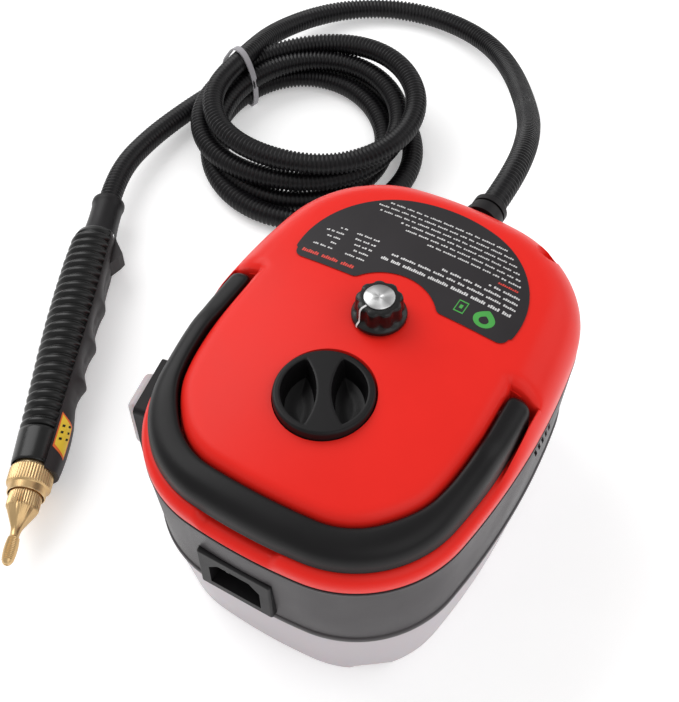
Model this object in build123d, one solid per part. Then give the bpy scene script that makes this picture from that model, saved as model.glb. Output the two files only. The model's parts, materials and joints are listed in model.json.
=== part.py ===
from build123d import *
import os
from math import atan2, cos, pi, radians, sin, sqrt, tan

# A portable canister steam cleaner: a water tank under an electric housing, a red top cover
# with a carry handle, and a steam gun on a corrugated hose that lies coiled behind it.
# Millimetres. The origin is the middle of the tank's foot, +Z up, -Y the mains inlet's side.

# ---------------------------------------------------------------- driving dimensions
HALF_WIDTH = 75.0          # of the body's outline, along X
HALF_LENGTH = 95.0         # along Y
SIDE_R = 320.0             # radius of the outline's long sides
END_R = 250.0              # radius of its two ends
CORNER_R = 52.0            # radius of its four corners
FOOT_INSET = 8.8           # how far the tank's foot stands inside the outline
SEAM_INSET = 2.9           # the same where the tank meets the housing
TANK_TOP = 39.7
PLATE_LOW, PLATE_HIGH = 41.5, 44.0      # the housing's floor plate
PLATE_INSET = 5.7
GAP_Z = 85.5               # seam between housing and cover
CROWN_Z = 118.0            # highest point of the cover's dome
CROWN_Y = 20.0
DOME_RX = 400.0            # dome radius across the body
DOME_RY = 540.0            # and along it
SHOULDER_R = 15.0          # round between the dome and the sides
WALL = 2.6

LEDGE_Z = 94.8             # floor of the channel that the folded handle lies in
CHANNEL_IN = 14.0          # inset of the channel's inner wall
CHANNEL_END_Y = 10.4
SCOOP_X, SCOOP_R, SCOOP_DEPTH = -3.0, 42.0, 4.0      # finger scoop in the front of the ledge
HANDLE_OUT, HANDLE_IN = 3.4, 13.1       # insets of the handle's two sides
PIVOT_Y, PIVOT_Z = 2.0, 102.4           # the handle's hinge
ARM_R = 7.3                # half the height of the handle's arms
ARM_START_Y = -14.0        # where the arms begin, towards the hinge
HANDLE_ROUND = 9.0
PIN_R = 2.0
PIN_HEAD_X = 58.2          # outer face of the pins' heads, inside the cover
RUN_FIT = 0.08             # radial clearance of a turning fit

CAP_Y = -32.5              # filler cap's axis
CAP_R, CAP_TOP, CAP_LOW = 20.0, 115.6, 104.7
CAP_BAR_ANGLE = -60.0      # direction of the cap's grip bar
POCKET_DEPTH, POCKET_OFFSET, POCKET_R = 8.5, 31.9, 29.0
PLUG_R, PLUG_LOW = 12.2, 94.0
NECK_R, NECK_BORE_R, NECK_TOP = 15.0, 12.7, 103.0
WELL_R = 20.7              # well in the cover around the cap

KNOB_Y = 10.0
KNOB_LOW, KNOB_TOP = 118.5, 129.2
KNOB_SKIRT_R, KNOB_BODY_R = 11.3, 9.9
KNOB_FLUTES = 9
SHAFT_R = 3.0

INLET_X, INLET_Z = -5.0, 57.5
POCKET_Y = -92.0           # flat seat on the front that the mains inlet's flange sits on
INLET_FLOOR_Y = -74.0      # floor of the connector itself

SWITCH_Y, SWITCH_Z = -42.0, 57.5
SWITCH_TURN = 10.0         # degrees that the switch's face turns towards the front
SWITCH_TABS = ((0.0, 7.0), (0.0, 0.0), (0.0, -7.0))

PUMP_X, PUMP_Y = 42.0, -8.0

GLAND_X, GLAND_Z = 3.0, 94.5
HOSE_START_Y = 107.0
HOSE_R = 6.0

GUN_X, GUN_Y, GUN_Z = -209.0, 78.5, 14.5      # middle of the gun's hose end
GUN_HEADING = -64.32       # degrees from +X to the gun's axis
SPLIT_V = 6.8              # where the gun's ribbed back meets its smooth front
RIB_COUNT, RIB_START, RIB_PITCH = 24, 32.0, 5.1
RIB_GAP, RIB_DEPTH = 1.7, 1.1
NOSE_HALF = 7.2            # half the thickness of the front's finger ridges
GRIP_PROFILE = (
    (28.0, 11.6), (34.0, 13.4), (50.0, 14.1), (70.0, 14.3), (90.0, 14.1), (110.0, 13.4), (140.0, 11.9),
    (173.0, 10.6),
)

TRIGGER_U, TRIGGER_V = 31.0, 8.9        # the trigger's pin, along and across the gun

COIL_X, COIL_Y = -142.0, 184.0
COIL_OUT = (67.0, 69.0)    # half axes of the coil's outside
COIL_IN = (35.0, 34.0)     # and of its hole
COIL_HEIGHT = 35.0
TIE_ANGLE = 165.0          # where on the coil the cable tie is
TIE_R = 64.5               # and how far from the coil's centre

os.makedirs("parts", exist_ok=True)
nodes = {}


def keep(name, *shapes):
    """Files one node under its name: one solid, or a group of separate solids."""
    solids = [s for shape in shapes for s in shape.solids()]
    nodes[name] = solids[0] if len(solids) == 1 else Compound(children=solids)
    return nodes[name]


# ---------------------------------------------------------------- outline and shared shapes
def corner_centre():
    """Centre of the +X+Y corner arc, which touches the side's arc and the end's arc."""
    side_x, end_y = HALF_WIDTH - SIDE_R, HALF_LENGTH - END_R
    to_side, to_end = SIDE_R - CORNER_R, END_R - CORNER_R
    apart = sqrt(side_x**2 + end_y**2)
    along = (to_side**2 - to_end**2 + apart**2) / (2 * apart)
    off = sqrt(to_side**2 - along**2)
    ux, uy = -side_x / apart, end_y / apart
    return side_x + along * ux - off * uy, along * uy + off * ux


def outline(inset, z=0.0):
    """The body's outline, moved inwards by inset: two side arcs, two end arcs, four corners."""
    cx, cy = corner_centre()
    radius = CORNER_R - inset
    side_angle = atan2(cy, cx - (HALF_WIDTH - SIDE_R))
    end_angle = atan2(cy - (HALF_LENGTH - END_R), cx)
    middle = (side_angle + end_angle) / 2
    low = (cx + radius * cos(side_angle), cy + radius * sin(side_angle))
    mid = (cx + radius * cos(middle), cy + radius * sin(middle))
    high = (cx + radius * cos(end_angle), cy + radius * sin(end_angle))
    edges = []
    for sx, sy in ((1, 1), (-1, 1), (-1, -1), (1, -1)):
        edges.append(ThreePointArc(*[(sx * x, sy * y) for x, y in (low, mid, high)]))
    for s in (1, -1):
        tip_x, tip_y = s * (HALF_WIDTH - inset), s * (HALF_LENGTH - inset)
        edges.append(ThreePointArc((s * low[0], -low[1]), (tip_x, 0), (s * low[0], low[1])))
        edges.append(ThreePointArc((-high[0], s * high[1]), (0, tip_y), (high[0], s * high[1])))
    return Pos(0, 0, z) * make_face(Wire(edges))


def band(z0, inset0, z1, inset1):
    """A solid between two levels, whose sides lean from one inset to the other."""
    if abs(inset0 - inset1) < 0.001:
        return extrude(outline(inset0, z0), z1 - z0)
    return loft([outline(inset0, z0), outline(inset1, z1)], ruled=True)


def dome(lift=0.0):
    """Everything under the cover's crowned top, moved up by lift."""
    reach = 90.0               # half the width of the arc, wider than the body
    radius = DOME_RX + lift
    centre_z = CROWN_Z - DOME_RX
    edge_z = centre_z + sqrt(radius**2 - reach**2)
    arc = ThreePointArc((reach, edge_z), (0, centre_z + radius), (-reach, edge_z))
    sides = Polyline((-reach, edge_z), (-reach, 0), (reach, 0), (reach, edge_z))
    profile = Plane(origin=(0, CROWN_Y, 0), x_dir=(1, 0, 0), z_dir=(0, -1, 0)) * make_face(sides + arc)
    spin_axis = Axis((0, CROWN_Y, CROWN_Z - DOME_RY), (1, 0, 0))
    return revolve(profile.rotate(spin_axis, -14), spin_axis, 28)


def block(x0, x1, y0, y1, z0, z1):
    return Pos((x0 + x1) / 2, (y0 + y1) / 2, (z0 + z1) / 2) * Box(x1 - x0, y1 - y0, z1 - z0)


def rod(x, y, z0, z1, radius, bore=0.0):
    """An upright cylinder, or a tube if it has a bore."""
    solid = Pos(x, y, (z0 + z1) / 2) * Cylinder(radius, z1 - z0)
    if bore:
        solid -= Pos(x, y, (z0 + z1) / 2) * Cylinder(bore, z1 - z0 + 1)
    return solid


def rod_along(axis, start, length, radius, bore=0.0):
    """A cylinder from a start point along +X or +Y."""
    turn = Rot(0, 90, 0) if axis == "x" else Rot(-90, 0, 0)
    solid = Pos(*start) * turn * Pos(0, 0, length / 2) * Cylinder(radius, length)
    if bore:
        solid -= Pos(*start) * turn * Pos(0, 0, length / 2) * Cylinder(bore, length + 1)
    return solid


def tube(points, radii, radius):
    """A round tube along straight runs joined by tangent arcs."""
    path = FilletPolyline(*points, radius=radii, close=False)
    start = Plane(origin=points[0], z_dir=Vector(*points[1]) - Vector(*points[0]))
    return sweep(start * Circle(radius), path=path)


def bend_radii(points):
    """The largest arc that each corner's two runs allow, as 0.45 of the shorter run."""
    radii = []
    for before, here, after in zip(points, points[1:], points[2:]):
        first, second = Vector(*here) - Vector(*before), Vector(*after) - Vector(*here)
        half_turn = radians(first.get_angle(second)) / 2
        radii.append(0.45 * min(first.length, second.length) / tan(half_turn))
    return radii


def spring(radius, wire, height, turns):
    """A coil spring that stands on Z = 0."""
    path = Helix(pitch=height / turns, height=height, radius=radius)
    return sweep(Plane(origin=path @ 0, z_dir=path % 0) * Circle(wire / 2), path=path)


# ---------------------------------------------------------------- tank
def water_tank():
    lean = (FOOT_INSET - SEAM_INSET) / TANK_TOP
    shell = band(0, FOOT_INSET, TANK_TOP, SEAM_INSET)
    floor = 8.4
    shell -= band(floor, FOOT_INSET - lean * floor + 2.4, TANK_TOP + 1, SEAM_INSET - lean + 2.4)
    shell -= band(-1, FOOT_INSET + 3.0, 6.0, FOOT_INSET + 2.4)
    for sx in (-1, 1):
        for sy in (-1, 1):
            arch = Pos(sx * 46, sy * 76, -4.1) * Rot(90, 0, -sx * sy * 33) * Cylinder(8.1, 34)
            shell -= arch
    shell += rod(0, 0, 0, 7, 15.0)          # foot pad in the middle of the recessed underside
    keep("water_tank", shell)
    gasket = extrude(outline(5.8, 37.5) - outline(8.4, 37.5), PLATE_LOW - 37.5)
    keep("tank_gasket", gasket)


# ---------------------------------------------------------------- housing
def switch_place(offset=0.0):
    """The switch's frame: +X points out of the body, +Y along the wall, +Z up."""
    out = radians(180 + SWITCH_TURN)
    x, y = -72.5 + offset * cos(out), SWITCH_Y + offset * sin(out)
    return Pos(x, y, SWITCH_Z) * Rot(0, 0, 180 + SWITCH_TURN)


def inlet_opening():
    """The connector's outline, with its two upper corners cut off, pushed out along -Y."""
    w, h, cut = 12.0, 8.2, 4.6
    corners = [(-w, -h), (w, -h), (w, h - cut), (w - cut, h), (cut - w, h), (-w, h - cut)]
    face = make_face(Polyline(*corners, close=True))
    front = Plane(origin=(INLET_X, INLET_FLOOR_Y, INLET_Z), x_dir=(1, 0, 0), z_dir=(0, -1, 0))
    return extrude(front * face, 30)


def mid_housing():
    wall = band(TANK_TOP, SEAM_INSET, GAP_Z, 0)
    wall -= band(TANK_TOP - 1, SEAM_INSET + 0.1 + WALL, GAP_Z + 1, WALL)
    pocket = block(INLET_X - 19.5, INLET_X + 19.5, -93.4, POCKET_Y + 2.2, 44.5, 77.5)
    pocket &= band(PLATE_HIGH, SEAM_INSET - 0.3, GAP_Z, 0)
    wall += pocket
    wall -= block(INLET_X - 17.4, INLET_X + 17.4, -100, POCKET_Y, INLET_Z - 12.7, INLET_Z + 13.3)
    wall -= block(INLET_X - 13.9, INLET_X + 13.9, -95, -80, INLET_Z - 10.2, INLET_Z + 10.2)
    wall -= switch_place() * block(-8, 8, -7.4, 7.4, -11.4, 11.4)
    for side in (1, -1):
        for i in range(5):
            slot = Pos(side * 73.5, 10 + 3.6 * i, 75) * Rot(side * 28, 0, 0) * Box(8, 1.6, 15)
            wall -= slot
    wall -= rod_along("y", (GLAND_X, 90, GLAND_Z), 8, 6.7)
    keep("mid_housing", wall)
    plate = extrude(outline(PLATE_INSET, PLATE_LOW), PLATE_HIGH - PLATE_LOW)
    plate -= rod(0, CAP_Y, 40, 46, NECK_R + 0.1)
    plate -= rod(PUMP_X, PUMP_Y, 40, 46, 3.6)
    for x, y in post_places():
        plate -= rod(x, y, 40, 46, 1.7)
    keep("housing_floor", plate)


def post_places():
    return [(sx * 44, sy * 58) for sx in (-1, 1) for sy in (-1, 1)]


# ---------------------------------------------------------------- cover
def top_cover():
    shell = extrude(outline(0, GAP_Z), 36) & dome()
    rim = [e for e in shell.edges() if e.center().Z > 104]
    shell = fillet(rim, SHOULDER_R)
    channel = extrude(outline(-3, LEDGE_Z) - outline(CHANNEL_IN, LEDGE_Z), 30)
    channel &= block(-90, 90, -110, CHANNEL_END_Y, LEDGE_Z, 130)
    shell -= channel
    boss = rod_along("y", (GLAND_X, 80, GLAND_Z), 17, 9.6)
    shell += boss & block(-20, 30, 70, 97, GAP_Z, 110)
    # hollow inside: under the rim, under the top panel, and under the rear shoulder
    shell -= band(GAP_Z - 1, WALL, LEDGE_Z - WALL, WALL)
    shell -= extrude(outline(CHANNEL_IN + WALL, GAP_Z - 1), 40) & dome(-WALL)
    behind_arms = block(-90, 90, CHANNEL_END_Y + WALL, 110, 80, 120)
    shell -= extrude(outline(5.4, GAP_Z), 103.5 - GAP_Z) & behind_arms
    shell += rod(0, CAP_Y, 100, 114, WELL_R + 2.2)
    shell -= rod(0, CAP_Y, 102.4, 125, WELL_R)
    shell -= rod(0, CAP_Y, 90, 125, NECK_R + 0.2)
    shell -= rod(0, KNOB_Y, 100, 125, 3.6)
    shell -= rod_along("y", (GLAND_X, 70, GLAND_Z), 40, 6.6)
    # scoop under the handle's grip, and screw recesses in the rear shoulder
    shell += block(SCOOP_X - 24, SCOOP_X + 24, -110, -80, 88, LEDGE_Z) & extrude(outline(1.0, 80), 20)
    scoop = Pos(SCOOP_X, -96, LEDGE_Z - SCOOP_DEPTH + SCOOP_R) * Rot(90, 0, 0) * Cylinder(SCOOP_R, 28)
    shell -= scoop
    for x in (-48, 42):
        shell -= Pos(x, 92, 104) * Rot(-20, 0, 0) * Cylinder(4.6, 14)
    for x, y in post_places():
        shell += rod(x, y, PLATE_HIGH, 120, 4.0) & dome(-1.0)
        shell -= rod(x, y, PLATE_HIGH - 1, 58, 1.3)
    for side in (1, -1):
        shell -= cross_rod(side * 56, side * 62, PIN_R)
    keep("top_cover", shell)


def label_outline(z):
    """The rear label: a straight front edge with a round bay for the knob, and a domed back."""
    bay = 23.0
    front = 23.0
    bay_x = sqrt(bay**2 - (front - KNOB_Y) ** 2)
    edges = [
        Line((-49.5, front), (-bay_x, front)),
        ThreePointArc((-bay_x, front), (0, KNOB_Y + bay), (bay_x, front)),
        Line((bay_x, front), (49.5, front)),
        ThreePointArc((49.5, front), (44.5, 56), (20.5, 75)),
        ThreePointArc((20.5, 75), (0, 78), (-20.5, 75)),
        ThreePointArc((-20.5, 75), (-44.5, 56), (-49.5, front)),
    ]
    return Pos(0, 0, z) * make_face(Wire(edges))


def label_plate():
    plate = extrude(label_outline(105), 20)
    plate = (plate & dome(0.5)) - dome(0.0)
    keep("label_plate", plate)


def cross_rod(x0, x1, radius):
    """A cylinder on the handle's hinge line, between two X positions."""
    return rod_along("x", (min(x0, x1), PIVOT_Y, PIVOT_Z), abs(x1 - x0), radius)


def carry_handle():
    """A band round the front shoulder, with two arms that end at the hinge."""
    low = LEDGE_Z + 0.3
    shoulder = extrude(outline(HANDLE_OUT, low), 30) & dome(-0.8)
    rim = [e for e in shoulder.edges() if e.center().Z > 100]
    shoulder = fillet(rim, HANDLE_ROUND)
    ring = shoulder - extrude(outline(HANDLE_IN, low), 30)
    ahead = block(-90, 90, -110, PIVOT_Y, 90, 125)
    under_arm_top = block(-90, 90, ARM_START_Y, CHANNEL_END_Y, 90, PIVOT_Z + ARM_R)
    end_round = Pos(0, PIVOT_Y, PIVOT_Z) * Rot(0, 90, 0) * Cylinder(ARM_R, 170)
    ahead_of_arms = block(-90, 90, -110, ARM_START_Y, 90, 125)
    handle = ring & (ahead_of_arms + (under_arm_top & (ahead + end_round)))
    pins = []
    for side in (1, -1):
        handle -= cross_rod(side * 60, side * 70, PIN_R + RUN_FIT)
        head = cross_rod(side * (PIN_HEAD_X - 1.8), side * PIN_HEAD_X, 3.6)
        pins.append(head + cross_rod(side * PIN_HEAD_X, side * 69.5, PIN_R))
    keep("carry_handle", handle)
    keep("handle_pins", *pins)


# ---------------------------------------------------------------- filler
def filler():
    neck = rod(0, CAP_Y, PLATE_LOW, NECK_TOP, NECK_R, NECK_BORE_R)
    neck += rod(0, CAP_Y, PLATE_HIGH, PLATE_HIGH + 2, 19.0, NECK_BORE_R)
    keep("filler_neck", neck)
    keep("filler_cap_gasket", rod(0, CAP_Y, NECK_TOP + 0.02, CAP_LOW - 0.02, 17.5, PLUG_R + 0.1))
    cap = rod(0, CAP_Y, CAP_LOW, CAP_TOP, CAP_R)
    cap = fillet(cap.edges().group_by(Axis.Z)[-1], 1.4)
    cap += rod(0, CAP_Y, PLUG_LOW, CAP_LOW, PLUG_R)
    for side in (1, -1):
        across = radians(CAP_BAR_ANGLE + 90 * side)
        middle = (POCKET_OFFSET * cos(across), CAP_Y + POCKET_OFFSET * sin(across))
        lens = rod(0, CAP_Y, CAP_TOP - POCKET_DEPTH, CAP_TOP + 1, CAP_R - 3.4)
        lens &= rod(*middle, CAP_TOP - POCKET_DEPTH, CAP_TOP + 1, POCKET_R)
        cap -= lens
    keep("filler_cap", cap)


# ---------------------------------------------------------------- steam knob
def steam_knob():
    knob = rod(0, KNOB_Y, KNOB_LOW, KNOB_LOW + 2.2, KNOB_SKIRT_R)
    body = rod(0, KNOB_Y, KNOB_LOW + 2.2, KNOB_TOP, KNOB_BODY_R)
    for i in range(KNOB_FLUTES):
        turn = 2 * pi * i / KNOB_FLUTES
        x, y = 14.2 * cos(turn), KNOB_Y + 14.2 * sin(turn)
        body -= rod(x, y, KNOB_LOW + 2.2, KNOB_TOP + 1, 5.2)
    knob += body
    knob -= rod(0, KNOB_Y, KNOB_LOW - 1, KNOB_LOW + 3.5, 7.0)
    knob -= rod(0, KNOB_Y, KNOB_LOW, KNOB_TOP - 3.2, SHAFT_R)
    keep("steam_knob", knob)
    keep("knob_disc", rod(0, KNOB_Y, KNOB_TOP, KNOB_TOP + 0.8, 6.2))
    keep("pot_shaft", rod(0, KNOB_Y, 106.0, KNOB_TOP - 3.2, SHAFT_R))
    case = rod(0, KNOB_Y, 103.0, 112.0, 8.2) + rod(0, KNOB_Y, 112.0, 120.0, 3.5)
    case -= rod(0, KNOB_Y, 105.8, 121, SHAFT_R + RUN_FIT)
    keep("potentiometer", case)
    nut = extrude(Pos(0, KNOB_Y, 118.05) * RegularPolygon(5.2, 6), 1.9)
    keep("pot_nut", nut - rod(0, KNOB_Y, 117, 121, 3.5))


# ---------------------------------------------------------------- mains inlet and switch
def mains_inlet():
    x, z = INLET_X, INLET_Z
    flange = block(x - 17.2, x + 17.2, POCKET_Y - 3.4, POCKET_Y, z - 12.5, z + 13.1)
    flange = fillet(flange.edges().filter_by(Axis.Y), 1.2)
    flange = fillet(flange.edges().group_by(Axis.Y)[0], 1.0)
    case = block(x - 13.6, x + 13.6, POCKET_Y, -70, z - 9.9, z + 9.9)
    socket = flange + case
    socket -= inlet_opening()
    pins = []
    for x, z in ((INLET_X - 7, INLET_Z - 2), (INLET_X + 7, INLET_Z - 2), (INLET_X, INLET_Z + 2)):
        blade = block(x - 1, x + 1, -91.0, -62, z - 2, z + 2)
        pins.append(fillet(blade.edges().group_by(Axis.Y)[0], 0.6))
        socket -= block(x - 1, x + 1, -75, -60, z - 2, z + 2)
    keep("inlet_socket", socket)
    keep("inlet_pins", *pins)


def power_switch():
    place = switch_place()
    box = block(-3.0, 9.5, -15, 15, -15.5, 21.5)
    box = fillet(box.edges().filter_by(Axis.X), 2.5)
    box -= block(-4, 7.6, -13, 13, -13.5, 19.5)
    box -= block(5, 12, -6.7, 6.7, -10.6, 10.6)
    housing = place * box
    housing -= extrude(outline(0.15, 30), 60)
    keep("switch_housing", housing)
    body = block(-7, 9.5, -6.6, 6.6, -10.5, 10.5) + block(9.5, 11.0, -7.8, 7.8, -11.8, 11.8)
    body -= block(5.5, 12, -5.2, 5.2, -9.2, 9.2)
    body -= Pos(9.3, 0, 0) * Rot(90, 0, 0) * Cylinder(1.03, 12.4)
    keep("switch_body", place * body)
    rocker = Pos(9.3, 0, 0) * Rot(90, 0, 0) * (Cylinder(1.0, 12.0) + Cylinder(2.6, 9.8))
    wings = Plane.XZ * make_face(Wire([
        Line((7.6, -8.4), (7.6, 8.4)), Line((7.6, 8.4), (12.2, 8.6)),
        ThreePointArc((12.2, 8.6), (10.6, 0), (12.2, -8.6)), Line((12.2, -8.6), (7.6, -8.4))]))
    rocker += extrude(wings, 4.9, both=True)
    keep("switch_rocker", place * rocker)
    boot = block(9.5, 16.5, -10, 10, -13.5, 15.0)
    boot = fillet(boot.edges().group_by(Axis.X)[-1], 3.0)
    boot = fillet(boot.edges().filter_by(Axis.X), 2.4)
    boot -= block(9.0, 15.2, -8.6, 8.6, -12.3, 12.3)
    keep("switch_boot", place * boot)
    terminals = [place * block(-13, -7, y - 0.4, y + 0.4, z - 3, z + 3) for y, z in SWITCH_TABS]
    keep("switch_terminals", *terminals)


# ---------------------------------------------------------------- inside the housing
def pump():
    x, y = PUMP_X, PUMP_Y
    coil = block(x - 13, x + 13, y - 12, y + 12, 52, 72) - rod(x, y, 50, 75, 7.1)
    keep("pump_coil", coil)
    barrel = rod(x, y, 46, 80, 7.0, 5.2)
    barrel += rod(x, y, 46, 48, 7.0, 1.6)
    barrel += rod(x, y, 80, 83, 7.0, 1.6) + rod(x, y, 83, 88, 3.0, 1.6)
    keep("pump_barrel", barrel)
    keep("pump_piston", rod(x, y, 58, 76, 5.1, 1.2))
    keep("pump_spring", Pos(x, y, 48.45) * spring(4.0, 0.8, 9.1, 5))
    frame = block(x - 15, x + 15, y - 14, y - 12.2, PLATE_HIGH, 72)
    frame += block(x - 15, x + 15, y - 14, y + 13, PLATE_HIGH, PLATE_HIGH + 1.6)
    frame -= rod(x, y, 40, 50, 7.4)
    keep("pump_bracket", frame)


def boiler():
    block_body = block(-30, 30, 26, 70, 47, 64)
    block_body = fillet(block_body.edges().filter_by(Axis.Z), 6.0)
    for x in (-19, 19):
        block_body -= rod_along("y", (x, 20, 55), 60, 4.0)
    keep("heater_block", block_body)
    bars = [rod_along("y", (x, 21, 55), 54, 3.9) for x in (-19, 19)]
    keep("heater_elements", *bars)
    posts = [rod(x, y, PLATE_HIGH, 47, 3.0) for x in (-22, 22) for y in (32, 64)]
    keep("heater_standoffs", *posts)
    disc = rod(-10, 48, 64, 67, 8.0) + rod(-10, 48, 67, 72, 6.2)
    keep("thermostat", disc)
    keep("thermal_fuse", rod_along("x", (4, 34, 66.1), 14, 2.1))
    valve = rod(18, 52, 64, 68, 5.0) + rod(18, 52, 68, 78, 3.6)
    keep("relief_valve", valve)


def circuit():
    keep("control_board", block(-55, -53.4, -12, 46, 46, 84))
    relay = block(-53.4, -38, -8, 8, 50, 68)
    capacitor = rod_along("x", (-53.4, 18, 60), 13, 5.5)
    sink = block(-53.4, -42, 28, 31, 50, 76)
    screw_blocks = [block(-53.4, -45, y, y + 8, 72, 81) for y in (-8, 2, 12)]
    keep("board_parts", relay, capacitor, sink, *screw_blocks)


def plumbing():
    keep("suction_tube", rod(PUMP_X, PUMP_Y, 12, 46, 2.0))
    keep("suction_filter", rod(PUMP_X, PUMP_Y, 9.2, 20, 5.0, 2.0))
    to_boiler = [
        (PUMP_X, PUMP_Y, 88), (PUMP_X, PUMP_Y, 93), (PUMP_X, 12, 93), (30, 34, 84), (8, 40, 76), (8, 40, 64),
    ]
    to_gland = [(GLAND_X, 64, 64), (GLAND_X, 64, GLAND_Z), (GLAND_X, 84, GLAND_Z)]
    for name, points, radius in (("feed_tube", to_boiler, 2.5), ("steam_tube", to_gland, 2.6)):
        radii = [min(r, 9.0) for r in bend_radii(points)]
        keep(name, tube(points, radii, radius))


def gland():
    body = rod_along("y", (GLAND_X, 84, GLAND_Z), 13.0, 6.5)
    body += rod_along("y", (GLAND_X, 97, GLAND_Z), 2.4, 8.8)
    keep("hose_gland", body)
    nut = rod_along("y", (GLAND_X, 99.4, GLAND_Z), 7.6, 8.2)
    nut -= rod_along("y", (GLAND_X, 103.0, GLAND_Z), 1.2, 9.0, 7.2)
    keep("gland_nut", nut)


# ---------------------------------------------------------------- hose
HOSE_NEAR = [
    (GLAND_X, HOSE_START_Y, GLAND_Z), (3, 134, 94.5), (-6, 169, 84), (-22, 206, 62), (-42, 246, 37),
    (-66, 284, 19), (-95, 311, 10), (-132, 319, 8), (-168, 312, 7), (-197, 287, 8.5),
    (-210, 250, 14), (-201, 206, 27),
]
BOOT_AHEAD_X = GUN_X - 24 * cos(radians(GUN_HEADING))      # a point on the gun's axis, ahead of its boot
BOOT_AHEAD_Y = GUN_Y - 24 * sin(radians(GUN_HEADING))
HOSE_GUN = [
    (-207, 201, 7.5), (-217, 180, 8), (-221.5, 152, 9.5), (-222.5, 126, 12),
    (BOOT_AHEAD_X, BOOT_AHEAD_Y, GUN_Z), (GUN_X, GUN_Y, GUN_Z),
]


def hose():
    for name, points in (("hose_near", HOSE_NEAR), ("hose_lead", HOSE_GUN)):
        radii = bend_radii(points)
        solid = tube(points, radii, HOSE_R)
        path = FilletPolyline(*points, radius=radii, close=False)
        print(name, "radii", [round(r) for r in radii], "length", round(path.length))
        print("   volume", round(solid.volume), "section x length", round(pi * HOSE_R**2 * path.length))
        keep(name, solid)
    coil = extrude(Ellipse(*COIL_OUT) - Ellipse(*COIL_IN), COIL_HEIGHT)
    coil = Pos(COIL_X, COIL_Y, 0) * coil
    keep("hose_coil", fillet(coil.edges().group_by(Axis.Z)[-1], 8.0))
    turn = radians(TIE_ANGLE)
    x, y = COIL_X + TIE_R * cos(turn), COIL_Y + TIE_R * sin(turn)
    loop = Box(28.0, 4.4, 36.6) - Box(25.6, 5, 34.2)
    head = Pos(-15.6, 0, -4) * Box(3.4, 5.4, 6.5)
    keep("cable_tie", Pos(x, y, 18.6) * Rot(0, 0, TIE_ANGLE) * (loop + head))


# ---------------------------------------------------------------- gun
# Worked out lying along X with its hose end at the origin, finger side towards +Y, then placed.
def gun_place():
    return Pos(GUN_X, GUN_Y, GUN_Z) * Rot(0, 0, GUN_HEADING)


def turned(points, closed_at=0.0):
    """A solid of revolution about X, from (distance, radius) points."""
    line = [(points[0][0], closed_at), *points, (points[-1][0], closed_at)]
    return revolve(make_face(Polyline(*line, close=True)), Axis.X)


def grip_radius(at):
    """Radius of the grip at a distance along it."""
    for (u0, r0), (u1, r1) in zip(GRIP_PROFILE, GRIP_PROFILE[1:]):
        if at <= u1:
            return r0 + (r1 - r0) * (at - u0) / (u1 - u0)
    return GRIP_PROFILE[-1][1]


def grip_solid():
    """The grip's round body, fullest near its hose end."""
    return turned(list(GRIP_PROFILE))


def finger_side():
    """Side view of the smooth front, with its finger scallops, as a slab across the gun."""
    edges = [
        Line((8, SPLIT_V), (8, 8.8)), Line((8, 8.8), (27, 9.9)), Line((27, 9.9), (50, 10.6)),
        ThreePointArc((50, 10.6), (60, 9.9), (72.5, 13.2)),
        ThreePointArc((72.5, 13.2), (84, 10.2), (97.5, 13.6)),
        ThreePointArc((97.5, 13.6), (109, 10.6), (121.5, 13.9)),
        ThreePointArc((121.5, 13.9), (134, 11.4), (149, 13.1)),
        ThreePointArc((149, 13.1), (164, 13.7), (177.5, 12.0)),
        Line((177.5, 12.0), (174.0, SPLIT_V)), Line((174.0, SPLIT_V), (8, SPLIT_V)),
    ]
    return make_face(Wire(edges))


def gun_grip():
    place = gun_place()
    behind = block(-5, 200, -30, SPLIT_V, -30, 30)
    ahead = block(-5, 200, SPLIT_V, 30, -30, 30)
    hollow = turned([(31, 9.0), (60, 9.6), (120, 9.2), (168.9, 8.95)])
    hollow += turned([(20, 5.0), (31.5, 5.0)]) + turned([(168.5, 8.95), (175, 8.95)])
    back = grip_solid() & behind
    for i in range(RIB_COUNT):
        at = RIB_START + RIB_PITCH * i
        back -= turned([(at, 20), (at + RIB_GAP, 20)], closed_at=grip_radius(at) - RIB_DEPTH)
    back -= hollow
    keep("gun_grip_back", place * back)
    body = grip_solid() & extrude(finger_side(), 14, both=True)
    nose = extrude(finger_side(), NOSE_HALF, both=True)
    front = (body + nose) & ahead
    front -= hollow & block(-5, 200, -30, 8.2, -30, 30)
    front -= turned([(-5, 9.1), (28.2, 9.1)])
    front -= block(27.6, 50.2, 6.0, 20, -5.0, 5.0)
    front -= Pos(TRIGGER_U, TRIGGER_V, 0) * Cylinder(1.25, 22)
    front -= turned([(167.0, 8.95), (173.0, 8.95)]) + turned([(172.9, 10.8), (190, 10.8)])
    keep("gun_grip_front", place * front)
    boot = turned([(0, 6.6), (0.8, 8.4), (24.5, 8.8), (28.0, 9.0)])
    keep("gun_boot", place * boot)


def gun_sticker():
    """A thin caution sticker on the upper side of the grip's front."""
    corners = [(145.5, 9.6), (149.0, 12.2), (165.0, 12.6), (160.5, 9.2)]
    sticker = extrude(Pos(0, 0, NOSE_HALF) * make_face(Polyline(*corners, close=True)), 0.25)
    keep("gun_sticker", gun_place() * sticker)


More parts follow.
